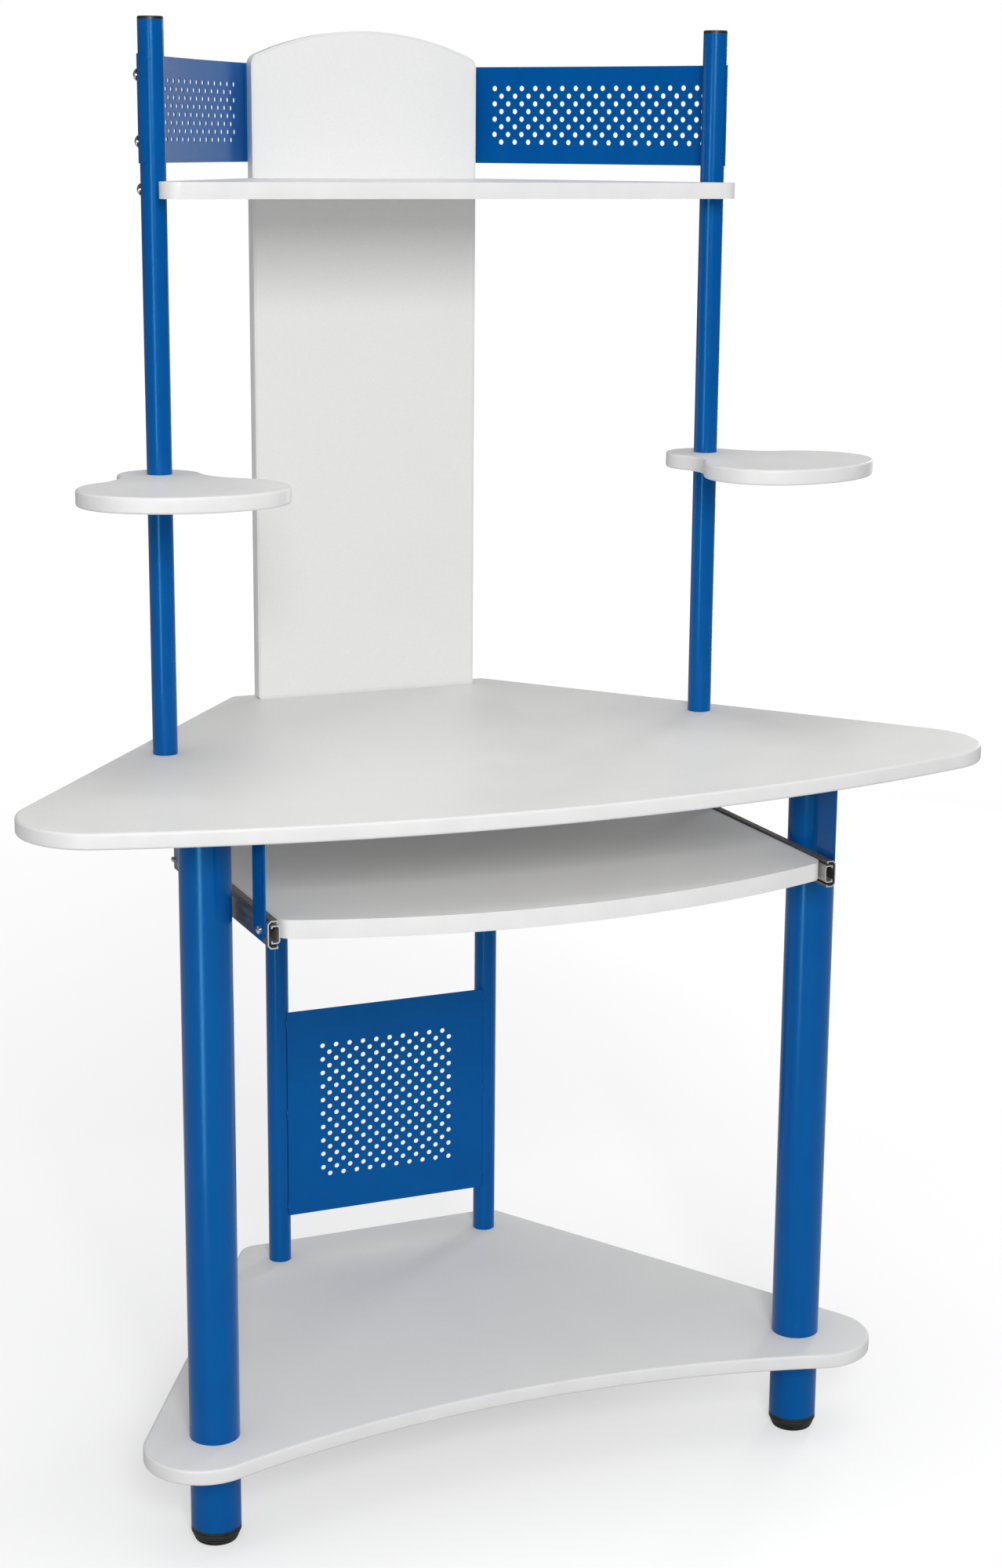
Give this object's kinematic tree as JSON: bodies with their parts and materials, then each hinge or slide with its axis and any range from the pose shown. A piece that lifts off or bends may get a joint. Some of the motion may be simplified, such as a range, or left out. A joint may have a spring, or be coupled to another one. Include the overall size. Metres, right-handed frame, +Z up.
{
  "type": "corner desk",
  "caption": "Corner computer desk with a raised arched back panel, a top shelf, two swivelling side shelves, a base shelf and a sliding keyboard tray.",
  "frame": {"origin": "on the floor, under the middle of the desk", "axes": "+X to the right as seen from the user, +Y to the back corner, +Z up"},
  "size_m": [1.014, 0.614, 1.472],
  "materials": {
    "grey_laminate": "satin fine-textured laminate",
    "white_edging": "smooth white edge trim",
    "blue_steel": "gloss blue powder coat",
    "black_plastic": "black moulded plastic",
    "rail_steel": "dark zinc-plated steel",
    "bright_steel": "bright zinc-plated steel"
  },
  "bodies": {
    "frame": {"worktop": "grey_laminate", "worktop_trim": "white_edging", "base_shelf": "grey_laminate", "base_trim": "white_edging", "back_panel": "grey_laminate", "back_trim": "white_edging", "top_shelf": "grey_laminate", "top_shelf_trim": "white_edging", "leg_left": "blue_steel", "leg_right": "blue_steel", "foot_tube_left": "blue_steel", "foot_tube_right": "blue_steel", "rear_tube_left": "blue_steel", "rear_tube_right": "blue_steel", "rear_foot_tube_left": "blue_steel", "rear_foot_tube_right": "blue_steel", "post_lower_left": "blue_steel", "post_lower_right": "blue_steel", "post_upper_left": "blue_steel", "post_upper_right": "blue_steel", "post_cap_left": "black_plastic", "post_cap_right": "black_plastic", "swivel_bush_left": "bright_steel", "swivel_bush_right": "bright_steel", "foot_collars_front": "black_plastic", "foot_collars_rear": "black_plastic", "leg_flange_left": "bright_steel", "leg_flange_right": "bright_steel", "tube_plugs": "bright_steel", "through_studs": "bright_steel", "modesty_sheet": "blue_steel", "wing_left": "blue_steel", "wing_right": "blue_steel", "wing_bolts": "bright_steel", "panel_screws": "bright_steel", "hanger_front_left": "blue_steel", "hanger_front_right": "blue_steel", "hanger_rear_left": "blue_steel", "hanger_rear_right": "blue_steel", "hanger_bolts": "bright_steel", "underside_screws": "bright_steel", "rail_outer_left": "rail_steel", "rail_outer_right": "rail_steel"},
    "shelf_left": {"side_shelf_left": "grey_laminate", "side_trim_left": "white_edging"},
    "shelf_right": {"side_shelf_right": "grey_laminate", "side_trim_right": "white_edging"},
    "tray": {"tray": "grey_laminate", "tray_trim": "white_edging", "tray_screws": "bright_steel", "rail_inner_left": "rail_steel", "rail_inner_right": "rail_steel"},
    "cage_left": {"ball_cage_left": "bright_steel", "balls_left": "bright_steel"},
    "cage_right": {"ball_cage_right": "bright_steel", "balls_right": "bright_steel"},
    "foot_front_left": {"foot_front_left": "black_plastic"},
    "foot_front_right": {"foot_front_right": "black_plastic"},
    "foot_rear_left": {"foot_rear_left": "black_plastic"},
    "foot_rear_right": {"foot_rear_right": "black_plastic"}
  },
  "joints": [
    {"name": "shelf_left_swivel", "type": "hinge", "parent": "frame", "child": "shelf_left", "pos_m": [-0.302, 0.0525, 1.021], "axis": [0, 0, 1], "range_deg": [-90, 60]},
    {"name": "shelf_right_swivel", "type": "hinge", "parent": "frame", "child": "shelf_right", "pos_m": [0.302, 0.0525, 1.021], "axis": [0, 0, 1], "range_deg": [-60, 90]},
    {"name": "tray_slide", "type": "slide", "parent": "frame", "child": "tray", "axis": [0, -1, 0], "range_m": [0, 0.2]},
    {"name": "cage_left_slide", "type": "slide", "parent": "frame", "child": "cage_left", "axis": [0, -1, 0], "range_m": [0, 0.1]},
    {"name": "cage_right_slide", "type": "slide", "parent": "frame", "child": "cage_right", "axis": [0, -1, 0], "range_m": [0, 0.1]},
    {"name": "foot_front_left_level", "type": "slide", "parent": "frame", "child": "foot_front_left", "axis": [0, 0, -1], "range_m": [0, 0.012]},
    {"name": "foot_front_right_level", "type": "slide", "parent": "frame", "child": "foot_front_right", "axis": [0, 0, -1], "range_m": [0, 0.012]},
    {"name": "foot_rear_left_level", "type": "slide", "parent": "frame", "child": "foot_rear_left", "axis": [0, 0, -1], "range_m": [0, 0.012]},
    {"name": "foot_rear_right_level", "type": "slide", "parent": "frame", "child": "foot_rear_right", "axis": [0, 0, -1], "range_m": [0, 0.012]}
  ],
  "couplings": [
    {"joint": "cage_left_slide", "follows": "tray_slide", "ratio": 0.5},
    {"joint": "cage_right_slide", "follows": "tray_slide", "ratio": 0.5}
  ]
}
